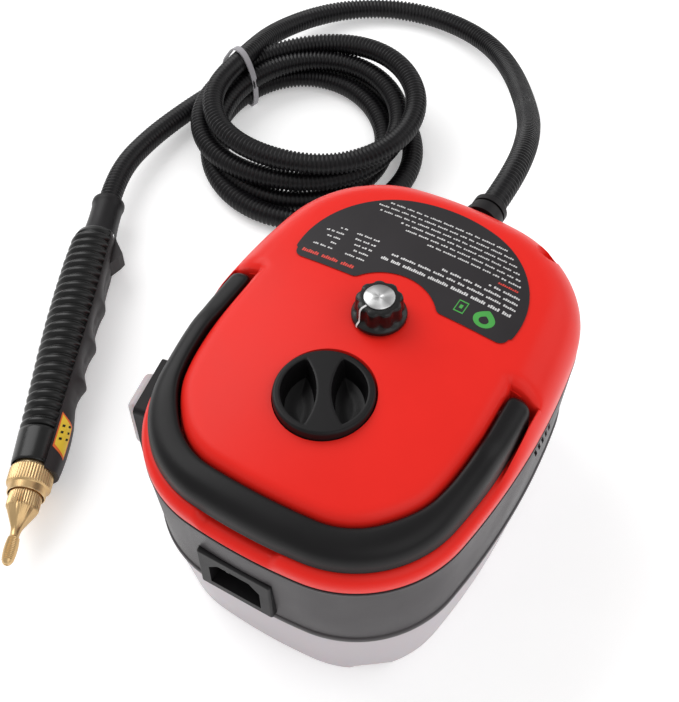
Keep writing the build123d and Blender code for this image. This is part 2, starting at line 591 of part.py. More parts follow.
def gun_trigger():
    place = gun_place()
    corners = [(28.8, 7.2), (28.8, 9.6), (40.3, 16.2), (43.6, 14.6), (48.6, 10.8), (48.6, 8.6), (34.0, 7.2)]
    lever = extrude(make_face(Polyline(*corners, close=True)), 4.7, both=True)
    lever -= Pos(TRIGGER_U, TRIGGER_V, 0) * Cylinder(1.2 + RUN_FIT, 12)
    keep("gun_trigger", place * lever)
    keep("trigger_pin", place * Pos(TRIGGER_U, TRIGGER_V, 0) * Cylinder(1.2, 15))
    switch = block(36, 49, 0.8, 6.0, -3, 3) + block(43.6, 45.0, 6.0, 6.45, -1.2, 1.2)
    keep("micro_switch", place * switch)


def gun_pipe():
    place = gun_place()
    pipe = rod_along("x", (32, -2.6, 0), 136.0, 2.2)
    pipe += turned([(30, 4.9), (33, 4.9)])
    pipe += turned([(167.5, 8.9), (182, 8.9)])
    keep("gun_steam_pipe", place * pipe)
    collar = turned([(174.2, 10.0), (175, 10.4), (183, 10.4), (185.6, 10.0), (187.5, 9.2)])
    collar -= turned([(170, 9.0), (185.2, 9.0)]) + turned([(185, 8.0), (190, 8.0)])
    keep("nozzle_collar", place * collar)
    tip = turned([
        (183.0, 8.8), (184.9, 8.8), (184.9, 7.9), (193.5, 7.9), (194.6, 7.5), (206.0, 2.7),
        (208.5, 2.4), (209.0, 2.7), (220.0, 2.7), (222.6, 1.6),
    ])
    tip -= turned([(180, 0.9), (230, 0.9)])
    keep("nozzle", place * tip)
    keep("nozzle_seal", place * (turned([(182.05, 8.2), (182.95, 8.2)]) - turned([(180, 4.0), (190, 4.0)])))


# ---------------------------------------------------------------- fasteners
def screws():
    long_screws = []
    for x, y in post_places():
        long_screws.append(rod(x, y, 40.0, PLATE_LOW, 2.8) + rod(x, y, PLATE_LOW, 56.0, 1.3))
    keep("housing_screws", *long_screws)


def main():
    for make in (
        water_tank, mid_housing, top_cover, label_plate, carry_handle, filler, steam_knob, mains_inlet,
        power_switch, pump, boiler, circuit, plumbing, gland, hose, gun_grip, gun_sticker, gun_trigger,
        gun_pipe, screws,
    ):
        make()
    for name, shape in nodes.items():
        export_step(shape, f"parts/{name}.step")


main()
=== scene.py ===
import bpy
import bmesh
import json
from math import atan2, cos, pi, radians, sin, sqrt
from mathutils import Matrix, Vector


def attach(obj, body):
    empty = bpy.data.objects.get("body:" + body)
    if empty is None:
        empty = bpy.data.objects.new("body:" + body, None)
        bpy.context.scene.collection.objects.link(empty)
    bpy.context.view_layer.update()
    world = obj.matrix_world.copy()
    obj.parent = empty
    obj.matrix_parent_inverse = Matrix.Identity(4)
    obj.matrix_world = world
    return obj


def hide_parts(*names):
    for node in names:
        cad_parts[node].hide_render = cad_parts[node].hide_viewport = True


# Looks for the canister steam cleaner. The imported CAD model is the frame. Lengths in this
# script are millimetres, turned to metres where an object is made.
MM = 0.001

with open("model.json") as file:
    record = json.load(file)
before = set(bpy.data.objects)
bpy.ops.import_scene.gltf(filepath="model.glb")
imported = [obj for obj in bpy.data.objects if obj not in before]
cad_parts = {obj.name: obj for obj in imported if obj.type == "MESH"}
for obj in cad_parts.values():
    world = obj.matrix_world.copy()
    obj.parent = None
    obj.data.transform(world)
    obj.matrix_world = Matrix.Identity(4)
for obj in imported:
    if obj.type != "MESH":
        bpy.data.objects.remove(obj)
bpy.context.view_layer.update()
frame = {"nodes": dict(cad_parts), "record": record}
NODES = frame["nodes"]


# ---------------------------------------------------------------- shared helpers
def smooth_step(t):
    t = min(1.0, max(0.0, t))
    return t * t * (3 - 2 * t)


def lerp(a, b, t):
    return a + (b - a) * t


def make_object(name, verts, faces, material, body="body", flat=False):
    """A mesh object from millimetre points, riding on a body."""
    mesh = bpy.data.meshes.new(name)
    mesh.from_pydata([Vector(v) * MM for v in verts], [], faces)
    mesh.validate()
    mesh.polygons.foreach_set("use_smooth", [not flat] * len(mesh.polygons))
    piece = bpy.data.objects.new(name, mesh)
    bpy.context.scene.collection.objects.link(piece)
    piece.data.materials.append(material)
    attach(piece, body)
    return piece


def grid_faces(rows, columns, close_columns=True, flip=False):
    """Quads of a grid of rows x columns points, whose columns may close on themselves."""
    faces = []
    last = columns if close_columns else columns - 1
    for r in range(rows - 1):
        for c in range(last):
            d = (c + 1) % columns
            quad = (r * columns + c, r * columns + d, (r + 1) * columns + d, (r + 1) * columns + c)
            faces.append(quad[::-1] if flip else quad)
    return faces


def sharpen(piece, degrees_limit=35):
    """Marks edges that turn by more than the limit as sharp, so rounds stay smooth."""
    work = bmesh.new()
    work.from_mesh(piece.data)
    for edge in work.edges:
        if len(edge.link_faces) == 2 and edge.calc_face_angle(0) > radians(degrees_limit):
            edge.smooth = False
    work.to_mesh(piece.data)
    work.free()


def tidy_normals(piece, weld=False):
    """Turns every face outwards, and on request welds points that coincide."""
    work = bmesh.new()
    work.from_mesh(piece.data)
    if weld:
        bmesh.ops.remove_doubles(work, verts=work.verts, dist=1e-7)
    bmesh.ops.recalc_face_normals(work, faces=work.faces)
    work.to_mesh(piece.data)
    work.free()
    piece.data.polygons.foreach_set("use_smooth", [True] * len(piece.data.polygons))


# ---------------------------------------------------------------- materials
def link(tree, a, b):
    tree.links.new(a, b)


def material(name, colour, rough, metallic=0.0, grain=900, bump=0.05, vary=0.08, tint=0.12,
             specular=0.5, worn=None, subsurface=0.0, glow=0.0):
    """A moulded or machined surface: fine grain, uneven gloss, slight colour drift, worn edges."""
    mat = bpy.data.materials.new(name)
    mat.use_nodes = True
    tree = mat.node_tree
    shader = tree.nodes["Principled BSDF"]
    shader.inputs["Metallic"].default_value = metallic
    shader.inputs["Specular IOR Level"].default_value = specular
    shader.inputs["Emission Color"].default_value = (1, 1, 1, 1)
    shader.inputs["Emission Strength"].default_value = glow
    shader.inputs["Subsurface Weight"].default_value = subsurface
    shader.inputs["Subsurface Scale"].default_value = 0.004
    place = tree.nodes.new("ShaderNodeTexCoord")
    fine = tree.nodes.new("ShaderNodeTexNoise")
    fine.inputs["Scale"].default_value = grain
    fine.inputs["Detail"].default_value = 3
    wide = tree.nodes.new("ShaderNodeTexNoise")
    wide.inputs["Scale"].default_value = 28
    wide.inputs["Detail"].default_value = 4
    link(tree, place.outputs["Object"], fine.inputs["Vector"])
    link(tree, place.outputs["Object"], wide.inputs["Vector"])
    relief = tree.nodes.new("ShaderNodeBump")
    relief.inputs["Strength"].default_value = bump
    relief.inputs["Distance"].default_value = 0.0004
    link(tree, fine.outputs["Fac"], relief.inputs["Height"])
    link(tree, relief.outputs["Normal"], shader.inputs["Normal"])
    gloss = tree.nodes.new("ShaderNodeMapRange")
    gloss.inputs["From Min"].default_value = 0.3
    gloss.inputs["From Max"].default_value = 0.7
    gloss.inputs["To Min"].default_value = max(0.02, rough - vary)
    gloss.inputs["To Max"].default_value = min(1.0, rough + vary)
    link(tree, wide.outputs["Fac"], gloss.inputs["Value"])
    link(tree, gloss.outputs["Result"], shader.inputs["Roughness"])
    drift = tree.nodes.new("ShaderNodeValToRGB")
    low = [c * (1 - tint) for c in colour]
    high = [min(1.0, c * (1 + tint)) for c in colour]
    drift.color_ramp.elements[0].position = 0.3
    drift.color_ramp.elements[1].position = 0.7
    drift.color_ramp.elements[0].color = (*low, 1)
    drift.color_ramp.elements[1].color = (*high, 1)
    link(tree, wide.outputs["Fac"], drift.inputs["Fac"])
    final = drift.outputs["Color"]
    if worn:
        edge = tree.nodes.new("ShaderNodeNewGeometry")
        ramp = tree.nodes.new("ShaderNodeValToRGB")
        ramp.color_ramp.elements[0].position = 0.52
        ramp.color_ramp.elements[1].position = 0.62
        mix = tree.nodes.new("ShaderNodeMix")
        mix.data_type = "RGBA"
        mix.inputs["B"].default_value = (*worn, 1)
        link(tree, edge.outputs["Pointiness"], ramp.inputs["Fac"])
        link(tree, ramp.outputs["Color"], mix.inputs["Factor"])
        link(tree, final, mix.inputs["A"])
        final = mix.outputs["Result"]
    link(tree, final, shader.inputs["Base Color"])
    return mat


RED = material("cover_red", (0.80, 0.020, 0.013), 0.33,
               grain=2600, bump=0.05, vary=0.04, tint=0.03, specular=0.16)
CHARCOAL = material("charcoal_satin", (0.006, 0.0055, 0.006), 0.38,
                    grain=3000, bump=0.10, vary=0.06, specular=0.20)
GUN_FRONT = material("gun_front_matte", (0.024, 0.020, 0.021), 0.50,
                     grain=3200, bump=0.18, vary=0.06, specular=0.28)
GLOSS_BLACK = material("gloss_black", (0.004, 0.004, 0.004), 0.27,
                       grain=2400, bump=0.03, vary=0.04, specular=0.36)
BLACK = material("matte_black", (0.008, 0.007, 0.008), 0.48, grain=2800, bump=0.15, specular=0.25)
HOUSING = material("housing_grey", (0.048, 0.043, 0.046), 0.42,
                   grain=3200, bump=0.20, tint=0.06, specular=0.28)
TANK = material("tank_milky", (0.46, 0.415, 0.44), 0.36, grain=1500, bump=0.06, tint=0.05, subsurface=0.25)
BOOT = material("switch_silicone", (0.50, 0.44, 0.46), 0.32,
                grain=1200, bump=0.08, tint=0.06, subsurface=0.3)
HOSE = material("hose_black", (0.005, 0.0045, 0.0055), 0.34, grain=2000, bump=0.1, vary=0.08, specular=0.26)
TIE = material("tie_grey", (0.34, 0.33, 0.35), 0.45, grain=1800, bump=0.1)
BRASS = material("brass", (0.66, 0.45, 0.22), 0.36,
                 metallic=1.0, grain=2600, bump=0.1, vary=0.08, tint=0.10,
                 worn=(0.85, 0.66, 0.40))
STEEL = material("steel", (0.55, 0.55, 0.56), 0.32, metallic=1.0, grain=1500, bump=0.08)
ALUMINIUM = material("aluminium", (0.72, 0.72, 0.73), 0.36, metallic=1.0, grain=1500, bump=0.1)
COPPER = material("copper", (0.70, 0.32, 0.16), 0.35, metallic=1.0, grain=1500, bump=0.2)
LABEL = material("label_skin", (0.024, 0.021, 0.023), 0.38, grain=2000, bump=0.03, vary=0.05, specular=0.22)
WHITE = material("print_white", (0.62, 0.61, 0.61), 0.5, grain=1800, bump=0.03)
PRINT_RED = material("print_red", (0.65, 0.045, 0.03), 0.45, grain=1800, bump=0.03)
PRINT_GREEN = material("print_green", (0.05, 0.33, 0.05), 0.45, grain=1800, bump=0.03)
YELLOW = material("sticker_yellow", (0.83, 0.56, 0.03), 0.40, grain=1800, bump=0.03)
ORANGE = material("sticker_border", (0.75, 0.13, 0.02), 0.42, grain=1800, bump=0.03)
SILICONE = material("silicone_tube", (0.62, 0.62, 0.60), 0.45, grain=1200, bump=0.05, subsurface=0.3)
BOARD = material("board_green", (0.02, 0.14, 0.05), 0.45, grain=1200, bump=0.1)
ROCKER_RED = material("rocker_red", (0.55, 0.02, 0.02), 0.3, grain=1800, bump=0.05)
FLOOR = material("floor_white", (0.93, 0.93, 0.93), 0.8, grain=60, bump=0.0, tint=0.01, glow=0.30)


def spun_metal():
    """Turned aluminium with painted reflection: light and dark sectors round the disc's middle are painted
    into the colour, standing for the light that a lathe's face cut reflects.
    """
    mat = material("spun_disc", (0.6, 0.6, 0.6), 0.34, metallic=1.0, grain=900, bump=0.08, vary=0.06)
    tree = mat.node_tree
    shader = tree.nodes["Principled BSDF"]
    place = tree.nodes.new("ShaderNodeTexCoord")
    shift = tree.nodes.new("ShaderNodeMapping")
    shift.inputs["Location"].default_value = (0, -0.010, 0)
    sweep_round = tree.nodes.new("ShaderNodeTexGradient")
    sweep_round.gradient_type = "RADIAL"
    painted_reflection_sectors = tree.nodes.new("ShaderNodeValToRGB")
    # painted reflection: these grey stops round the disc stand in for light reflected by the turned face
    stops = ((0.0, 0.42), (0.07, 0.75), (0.16, 0.40), (0.27, 0.50), (0.36, 0.86), (0.46, 0.42), (0.56, 0.45),
             (0.64, 0.80), (0.72, 0.42), (0.84, 0.52), (0.92, 0.72), (1.0, 0.42))
    ramp = painted_reflection_sectors.color_ramp
    while len(ramp.elements) < len(stops):
        ramp.elements.new(0.5)
    for stop, (at, grey) in zip(ramp.elements, stops):
        stop.position = at
        stop.color = (grey, grey, grey, 1)
    link(tree, place.outputs["Object"], shift.inputs["Vector"])
    link(tree, shift.outputs["Vector"], sweep_round.inputs["Vector"])
    link(tree, sweep_round.outputs["Fac"], painted_reflection_sectors.inputs["Fac"])
    link(tree, painted_reflection_sectors.outputs["Color"], shader.inputs["Base Color"])
    return mat


SPUN = spun_metal()

BY_SLOT = {
    "tank_plastic": TANK, "housing_grey": HOUSING, "cover_red": RED, "charcoal_plastic": CHARCOAL,
    "gun_charcoal": GUN_FRONT, "black_plastic": BLACK, "black_gloss": GLOSS_BLACK, "label_dark": LABEL,
    "rubber_black": BLACK, "neck_plastic": SILICONE, "rocker_red": ROCKER_RED, "boot_clear": BOOT,
    "hose_black": HOSE, "tie_grey": TIE, "tube_silicone": SILICONE, "sticker_yellow": YELLOW,
    "board_green": BOARD, "steel": STEEL, "spun_aluminium": ALUMINIUM, "cast_aluminium": ALUMINIUM,
    "copper": COPPER, "brass": BRASS,
}


def paint_cad_nodes():
    """Every CAD node gets the finish of its material slot."""
    for part in frame["record"]["subparts"]:
        node = NODES[part["node"]]
        node.data.materials.clear()
        node.data.materials.append(BY_SLOT[part["material_slot"]])


# ---------------------------------------------------------------- camera, light and floor
def stage():
    back = Vector((0.3246, -0.5165, 0.7923)).normalized()
    right = Vector((cos(radians(32.16)), sin(radians(32.16)), 0))
    up = back.cross(right)
    roll = radians(-1.48)
    right, up = right * cos(roll) + up * sin(roll), up * cos(roll) - right * sin(roll)
    camera = bpy.data.objects.new("camera", bpy.data.cameras.new("camera"))
    bpy.context.scene.collection.objects.link(camera)
    camera.matrix_world = Matrix.Translation((0.1546, -0.2665, 0.5063)) @ Matrix((
        (right.x, up.x, back.x, 0), (right.y, up.y, back.y, 0), (right.z, up.z, back.z, 0), (0, 0, 0, 1)))
    camera.data.lens = 64.1
    camera.data.clip_start = 0.01
    bpy.context.scene.camera = camera

    bpy.context.scene.view_settings.view_transform = "Standard"
    world = bpy.data.worlds.new("world")
    bpy.context.scene.world = world
    world.use_nodes = True
    world.node_tree.nodes["Background"].inputs["Color"].default_value = (1, 1, 1, 1)
    world.node_tree.nodes["Background"].inputs["Strength"].default_value = 0.60

    lights = (
        ("key", (-1.10, 0.25, 1.10), 1.20, 12.5),
        ("fill", (1.05, -0.35, 1.05), 1.20, 4.4),
        ("rear", (0.75, 0.95, 0.80), 0.90, 2.2),
    )
    for name, at, size, watts in lights:
        lamp = bpy.data.objects.new(name, bpy.data.lights.new(name, "AREA"))
        bpy.context.scene.collection.objects.link(lamp)
        lamp.location = at
        lamp.data.size = size
        lamp.data.energy = watts
        aim = Vector((-0.03, 0.03, 0.05)) - Vector(at)
        lamp.rotation_euler = aim.to_track_quat("-Z", "Y").to_euler()

    mesh = bpy.data.meshes.new("floor")
    reach = 6.0
    corners = [(-reach, -reach, 0), (reach, -reach, 0), (reach, reach, 0), (-reach, reach, 0)]
    mesh.from_pydata(corners, [], [(0, 1, 2, 3)])
    floor = bpy.data.objects.new("floor", mesh)
    floor.location.z = -0.0003
    bpy.context.scene.collection.objects.link(floor)
    floor.data.materials.append(FLOOR)


# ---------------------------------------------------------------- hose
GUN = Vector((-209.0, 78.5, 14.5))
GUN_TURN = radians(-64.32)
GUN_AHEAD = (GUN.x - 24 * cos(GUN_TURN), GUN.y - 24 * sin(GUN_TURN), GUN.z)
HOSE_NEAR = [
    (3, 107, 94.5), (3, 134, 94.5), (-6, 169, 84), (-22, 206, 62), (-42, 246, 37),
    (-66, 284, 19), (-95, 311, 10), (-132, 319, 8), (-168, 312, 7), (-197, 287, 8.5),
    (-210, 250, 14), (-205, 222, 24),
]
HOSE_GUN = [
    (-217, 180, 8), (-221.5, 152, 9.5), (-222.5, 126, 12), GUN_AHEAD, tuple(GUN),
]
COIL_CENTRE = (-142.0, 184.0)
TIE_ANGLE = 165.0
TURN_POINTS = 16
# where each pass of the hose goes through the tie: distance from the coil's centre, and height
TIE_SLOTS = [(62, 29.5), (69, 18.3), (57, 18.0), (60, 7.0), (72, 6.6)]
# each loose loop: centre, half axes and height
LOOPS = [
    ((-143, 194), (56, 54), 30),
    ((-151, 188), (57, 54), 18.3),
    ((-149, 180), (50, 50), 6.6),
    ((-142, 178), (62, 59), 6.4),
]


def coil_points():
    """Loose turns of different sizes that all pass through the cable tie."""
    points = []
    for loop, (centre, axes, height) in enumerate(LOOPS):
        for i in range(TURN_POINTS):
            t = i / TURN_POINTS
            angle = radians(TIE_ANGLE + 360 * t)
            x = centre[0] + axes[0] * cos(angle)
            y = centre[1] + axes[1] * sin(angle)
            from_start = smooth_step(t / 0.34)
            to_end = smooth_step((t - 0.66) / 0.34)
            slots = (TIE_SLOTS[loop], 1 - from_start), (TIE_SLOTS[loop + 1], to_end)
            for (reach, _), weight in slots:
                x = lerp(x, COIL_CENTRE[0] + reach * cos(angle), weight)
                y = lerp(y, COIL_CENTRE[1] + reach * sin(angle), weight)
            z = lerp(TIE_SLOTS[loop][1], height, smooth_step(t / 0.35))
            z = lerp(z, TIE_SLOTS[loop + 1][1], smooth_step((t - 0.72) / 0.28))
            points.append((x, y, z))
    reach, height = TIE_SLOTS[-1]
    angle = radians(TIE_ANGLE)
    points.append((COIL_CENTRE[0] + reach * cos(angle), COIL_CENTRE[1] + reach * sin(angle), height))
    return points


def spline_path(name, points):
    """Points along a NURBS spline through the given control points, in metres."""
    curve = bpy.data.curves.new(name, "CURVE")
    curve.dimensions = "3D"
    spline = curve.splines.new("NURBS")
    spline.points.add(len(points) - 1)
    for target, source in zip(spline.points, points):
        target.co = (source[0] * MM, source[1] * MM, source[2] * MM, 1)
    spline.order_u = 4
    spline.use_endpoint_u = True
    spline.resolution_u = 12
    holder = bpy.data.objects.new(name, curve)
    bpy.context.scene.collection.objects.link(holder)
    mesh = bpy.data.meshes.new_from_object(holder)
    path = [v.co.copy() for v in mesh.vertices]
    bpy.data.objects.remove(holder)
    bpy.data.meshes.remove(mesh)
    return path


def evenly(path, step):
    """Resamples a polyline at even steps."""
    distances = [0.0]
    for a, b in zip(path, path[1:]):
        distances.append(distances[-1] + (b - a).length)
    count = max(2, round(distances[-1] / step))
    out, at = [], 0
    for i in range(count + 1):
        want = distances[-1] * i / count
        while at < len(path) - 2 and distances[at + 1] < want:
            at += 1
        span = distances[at + 1] - distances[at]
        out.append(path[at].lerp(path[at + 1], (want - distances[at]) / span if span else 0))
    return out, distances[-1]


def sweep(name, path, ring_radius, sides, mat, body="body"):
    """A tube along a path in metres; ring_radius(i) gives the radius of ring i in millimetres."""
    verts = []
    up = Vector((0, 0, 1))
    for i, here in enumerate(path):
        ahead = path[min(i + 1, len(path) - 1)] - path[max(i - 1, 0)]
        ahead.normalize()
        side = up.cross(ahead).normalized()
        up = ahead.cross(side).normalized()
        for s in range(sides):
            turn = 2 * pi * s / sides
            spot = here + (side * cos(turn) + up * sin(turn)) * ring_radius(i) * MM
            verts.append(spot / MM)
    faces = grid_faces(len(path), sides, flip=True)
    faces.append(tuple(range(sides)))
    faces.append(tuple(range(len(path) * sides - 1, (len(path) - 1) * sides - 1, -1)))
    return make_object(name, verts, faces, mat, body)


def hose():
    points = HOSE_NEAR + coil_points() + HOSE_GUN
    path = spline_path("hose_route", points)
    pitch = 2.35
    fine, length = evenly(path, pitch / 4 * MM)
    crest = (6.0, 6.0, 5.05, 5.05)
    tube = sweep("hose", fine, lambda i: crest[i % 4], 20, HOSE)
    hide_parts("hose_near", "hose_coil", "hose_lead")
    return fine


# ---------------------------------------------------------------- body outline and dome
HALF_WIDTH, HALF_LENGTH = 75.0, 95.0
SIDE_R, END_R, CORNER_R = 320.0, 250.0, 52.0
CROWN_Z, CROWN_Y, DOME_RX, DOME_RY = 118.0, 20.0, 400.0, 540.0
CHANNEL_END_Y = 11.0
COVER_LOW = 86.4
SCREW_PITS, PIT_Z = ((42, 83.5), (-50, 81.5)), 104.5


def corner_centre():
    """Centre of the corner arc that touches the side's arc and the end's arc."""
    side_x, end_y = HALF_WIDTH - SIDE_R, HALF_LENGTH - END_R
    to_side, to_end = SIDE_R - CORNER_R, END_R - CORNER_R
    apart = sqrt(side_x**2 + end_y**2)
    along = (to_side**2 - to_end**2 + apart**2) / (2 * apart)
    off = sqrt(to_side**2 - along**2)
    ux, uy = -side_x / apart, end_y / apart
    return side_x + along * ux - off * uy, along * uy + off * ux


def spread(first, last, count):
    """Even steps from the first value towards the last, which is left to the next arc."""
    return [lerp(first, last, i / count) for i in range(count)]


def outline_points(extra_y=(), side_steps=44, corner_steps=34, end_steps=36):
    """Points round the body's outline as (x, y, normal x, normal y), anticlockwise from +X's side."""
    cx, cy = corner_centre()
    side_angle = atan2(cy, cx - (HALF_WIDTH - SIDE_R))
    end_angle = atan2(cy - (HALF_LENGTH - END_R), cx)
    side_angles = [lerp(-side_angle, side_angle, i / side_steps) for i in range(side_steps)]
    side_angles += [atan2(y, sqrt(SIDE_R**2 - y**2)) for y in extra_y]
    side_angles.sort()
    arcs = [
        (HALF_WIDTH - SIDE_R, 0, SIDE_R, side_angles),
        (cx, cy, CORNER_R, spread(side_angle, end_angle, corner_steps)),
        (0, HALF_LENGTH - END_R, END_R, spread(end_angle, pi - end_angle, end_steps)),
        (-cx, cy, CORNER_R, spread(pi - end_angle, pi - side_angle, corner_steps)),
        (SIDE_R - HALF_WIDTH, 0, SIDE_R, [pi - a for a in reversed(side_angles)]),
        (-cx, -cy, CORNER_R, spread(pi + side_angle, pi + end_angle, corner_steps)),
        (0, END_R - HALF_LENGTH, END_R, spread(pi + end_angle, 2 * pi - end_angle, end_steps)),
        (cx, -cy, CORNER_R, spread(-end_angle, -side_angle, corner_steps)),
    ]
    points = []
    for ax, ay, radius, angles in arcs:
        for a in angles:
            points.append((ax + radius * cos(a), ay + radius * sin(a), cos(a), sin(a)))
    return points


def dome_z(x, y):
    drop = DOME_RX - sqrt(DOME_RX**2 - x * x)
    reach = DOME_RY - drop
    return CROWN_Z - DOME_RY + sqrt(reach**2 - (y - CROWN_Y) ** 2)


def rounded(distance, radius):
    """How far a round edge of that radius has dropped, at a distance inside the edge."""
    if distance >= radius:
        return 0.0
    return radius - sqrt(max(0.0, radius**2 - (radius - distance) ** 2))


# ---------------------------------------------------------------- cover
def arm_shift(y):
    """How far the handle's arms, and their channel, bend inwards near their ends."""
    return 1.5 * smooth_step((y + 32.0) / 36.0)


def channel_shift(y):
    """How much wider the channel is than beside the arms: it widens towards the front."""
    return arm_shift(y) + 3.4 * smooth_step((-y - 38.0) / 40.0)


def ledge_z(x, y, inset):
    """Height of the channel's floor: rounded outside, a shallow cove inside, a scoop at the front."""
    z = 94.7 - rounded(inset, 4.5)
    z += 0.5 * smooth_step((inset - 5) / 9)
    across = (x + 3.0) / 19.0
    if y < -60 and abs(across) < 1:
        z -= 3.6 * min(1.0, 2.6 * (1 - across * across)) * smooth_step((12.0 - inset) / 3)
    return max(z, COVER_LOW + 0.8 + 0.02 * inset)


def cover_z(x, y, inset, panel_edge, in_channel):
    top = dome_z(x, y) - rounded(inset, 17.0)
    past_edge, past_end = inset - panel_edge, y - CHANNEL_END_Y
    if in_channel and past_edge < 0:
        low = ledge_z(x, y, inset)
        beside_arm = smooth_step((3.3 + 0.6 * arm_shift(y) - inset) / 1.3)
        return lerp(low, top, smooth_step((y + 26.0) / 30.0) * beside_arm)
    away = sqrt(max(past_edge, 0.0) ** 2 + max(past_end, 0.0) ** 2)
    share = min(1.0, max(past_end, 0.0) / (away + 1e-6))
    roll = lerp(5.6, 6.8, share)
    outside = smooth_step((inset - 2.0) / 3.0)
    return top - rounded(away + 1.1 * share, roll) * outside


def cover():
    fine_y = [CHANNEL_END_Y + d for d in (-1.2, -0.4, 0.02, 0.35, 0.9, 1.7, 2.8, 4.2, 6.0, 8.0)]
    ring = outline_points(extra_y=fine_y, side_steps=52)
    insets = [0.0, 0.12, 0.45, 1.0, 1.7, 2.3, 2.7, 3.1, 3.5, 3.9, 4.3, 5.0, 6.0, 8.0, 10.0, 12.0, 13.2, 13.9,
              14.05, 14.4, 15.0, 15.8, 16.8, 18.0, 19.6, 21.5, 24.0]
    verts = []
    for x, y, nx, ny in ring:
        verts.append((x - nx * 0.9, y - ny * 0.9, COVER_LOW))
    for x, y, nx, ny in ring:
        verts.append((x - nx * 0.25, y - ny * 0.25, COVER_LOW + 0.12))
    for x, y, nx, ny in ring:
        verts.append((x, y, COVER_LOW + 0.6))
    for inset in insets:
        for x, y, nx, ny in ring:
            shift = channel_shift(y) * smooth_step((40.0 - y) / 24.0)
            shifted = inset + shift * smooth_step((inset - 6.0) / 7.0)
            px, py = x - nx * shifted, y - ny * shifted
            verts.append((px, py, cover_z(px, py, shifted, 14.0 + channel_shift(y), y < CHANNEL_END_Y)))
    rings = 26
    for k in range(1, rings):
        shrink = 1 - k / rings
        for x, y, nx, ny in ring:
            inset = insets[-1] + channel_shift(y) * smooth_step((40.0 - y) / 24.0)
            px, py = (x - nx * inset) * shrink, (y - ny * inset) * shrink
            verts.append((px, py, dome_z(px, py)))
    count = len(ring)
    rows = len(verts) // count
    verts.append((0, 0, dome_z(0, 0)))
    verts.append((0, 0, COVER_LOW))
    faces = grid_faces(rows, count)
    for c in range(count):
        d = (c + 1) % count
        faces.append(((rows - 1) * count + c, (rows - 1) * count + d, len(verts) - 2))
        faces.append((d, c, len(verts) - 1))
    shell = make_object("cover", verts, faces, RED)

    well_profile = [(0, 102.4), (20.5, 102.4), (20.5, 114.4), (20.7, 115.2), (21.4, 119.0), (21.4, 125),
                    (0, 125)]
    well = lathe("well_cutter", well_profile, (0, CAP_Y, 0), 160)
    cut(shell, well)
    pit_profile = [(0, -8.0), (4.4, -8.0), (4.6, 0), (5.6, 2.2), (9.0, 14), (0, 14)]
    lean = Matrix.Rotation(radians(-12), 4, "X")
    for x, y in SCREW_PITS:
        pit = lathe("pit_cutter", pit_profile, (0, 0, 0), 40)
        pit.matrix_world = Matrix.Translation((x * MM, y * MM, PIT_Z * MM)) @ lean
        cut(shell, pit)
    sharpen(shell, 38)
    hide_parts("top_cover")

    seam = [(0.45, 85.2), (0.45, 86.9)]
    verts = []
    for inset, z in seam:
        for x, y, nx, ny in outline_points():
            verts.append((x - nx * inset, y - ny * inset, z))
    band = make_object("cover_seam", verts, grid_faces(2, len(verts) // 2), BLACK)


def housing_beads():
    """The housing's raised lower lip and its fine upper rim."""
    lip = [(2.9, 39.7), (2.3, 39.9), (2.15, 40.3), (2.1, 42.4), (2.35, 42.9), (2.9, 43.2)]
    rim = [(0.6, 83.9), (0.02, 84.2), (-0.06, 84.9), (0.05, 85.35), (0.6, 85.5)]
    for name, profile in (("housing_lower_lip", lip), ("housing_upper_rim", rim)):
        verts = []
        for inset, z in profile:
            for x, y, nx, ny in outline_points():
                verts.append((x - nx * inset, y - ny * inset, z))
        bead = make_object(name, verts, grid_faces(len(profile), len(verts) // len(profile)), HOUSING)
        tidy_normals(bead)


def cut(target, cutter):
    """Takes the cutter's solid out of the target for good."""
    step = target.modifiers.new("cut", "BOOLEAN")
    step.operation = "DIFFERENCE"
    step.solver = "EXACT"
    step.object = cutter
    bpy.context.view_layer.update()
    graph = bpy.context.evaluated_depsgraph_get()
    result = bpy.data.meshes.new_from_object(target.evaluated_get(graph))
    target.modifiers.clear()
    target.data = result
    target.data.polygons.foreach_set("use_smooth", [True] * len(target.data.polygons))
    bpy.data.objects.remove(cutter)


def lathe(name, profile, centre, sides, mat=None, body="body", ripple=None):
    """A solid turned about an upright axis from (radius, z) points. ripple(row, angle) scales a radius."""
    verts, rows = [], len(profile)
    for r, (radius, z) in enumerate(profile):
        for s in range(sides):
            turn = 2 * pi * s / sides
            scale = ripple(r, turn) if ripple else 1.0
            verts.append((centre[0] + radius * scale * cos(turn), centre[1] + radius * scale * sin(turn),
                          centre[2] + z))
    faces = grid_faces(rows, sides)
    piece = make_object(name, verts, faces, mat or BLACK, body)
    tidy_normals(piece, weld=True)
    return piece


# ---------------------------------------------------------------- handle
PIVOT_Y, PIVOT_Z, ARM_SWING_R = 2.0, 102.4, 8.6


